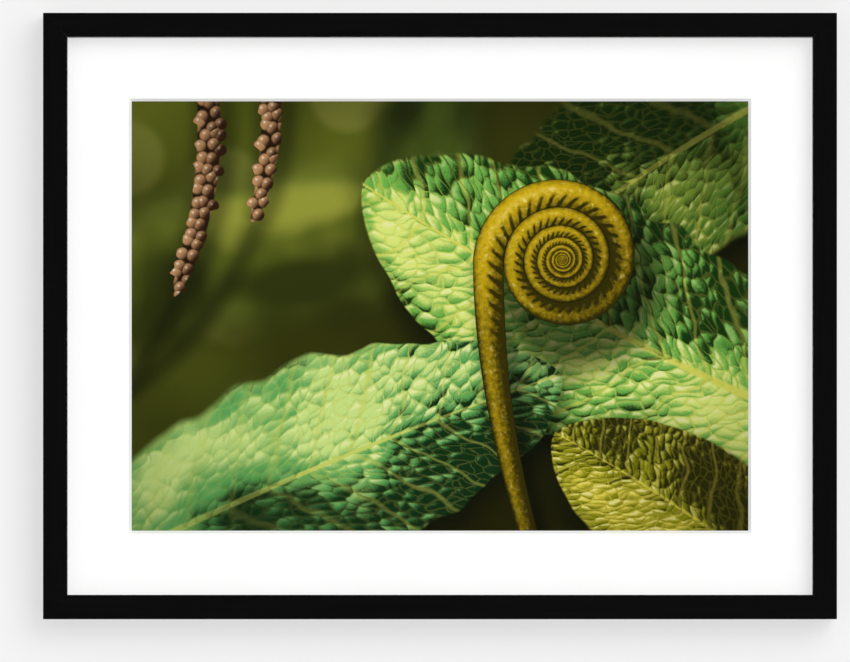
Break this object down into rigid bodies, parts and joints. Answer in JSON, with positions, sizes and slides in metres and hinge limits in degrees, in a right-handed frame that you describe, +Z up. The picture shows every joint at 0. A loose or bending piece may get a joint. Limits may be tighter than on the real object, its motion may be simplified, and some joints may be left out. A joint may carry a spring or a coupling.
{
  "type": "framed print",
  "caption": "Landscape picture print behind a wide white window mat and clear glazing, in a flat black wooden frame that hangs on a wall nail by a sawtooth hanger.",
  "frame": {"origin": "on the wall plane, where the nail sits in the middle notch of the sawtooth hanger, 10 mm below the frame's top edge", "axes": "+X to the right as seen from the front, +Y into the wall, +Z up; the picture faces -Y"},
  "size_m": [0.635, 0.0273, 0.485],
  "materials": {
    "black_lacquer": "satin black lacquer",
    "clear_acrylic": "clear, polished",
    "mat_board": "matt white, fine tooth",
    "print_paper": "semi-matt photo paper",
    "foam_board": "matt white",
    "hardboard": "smooth pressed fibre",
    "zinc_steel": "zinc plated",
    "dark_felt": "pressed felt"
  },
  "bodies": {
    "root": {"rail_top": "black_lacquer", "rail_bottom": "black_lacquer", "rail_left": "black_lacquer", "rail_right": "black_lacquer", "glazing": "clear_acrylic", "window_mat": "mat_board", "print_sheet": "print_paper", "mount_board": "foam_board", "back_board": "hardboard", "tab_top_1": "zinc_steel", "tab_top_2": "zinc_steel", "tab_top_3": "zinc_steel", "tab_top_4": "zinc_steel", "tab_bottom_1": "zinc_steel", "tab_bottom_2": "zinc_steel", "tab_bottom_3": "zinc_steel", "tab_bottom_4": "zinc_steel", "tab_left_1": "zinc_steel", "tab_left_2": "zinc_steel", "tab_left_3": "zinc_steel", "tab_right_1": "zinc_steel", "tab_right_2": "zinc_steel", "tab_right_3": "zinc_steel", "corner_nail_top_left_1": "zinc_steel", "corner_nail_top_left_2": "zinc_steel", "corner_nail_top_right_1": "zinc_steel", "corner_nail_top_right_2": "zinc_steel", "corner_nail_bottom_left_1": "zinc_steel", "corner_nail_bottom_left_2": "zinc_steel", "corner_nail_bottom_right_1": "zinc_steel", "corner_nail_bottom_right_2": "zinc_steel", "hanger": "zinc_steel", "hanger_screw_left": "zinc_steel", "hanger_screw_right": "zinc_steel", "wall_pad_left": "dark_felt", "wall_pad_right": "dark_felt"}
  },
  "joints": []
}
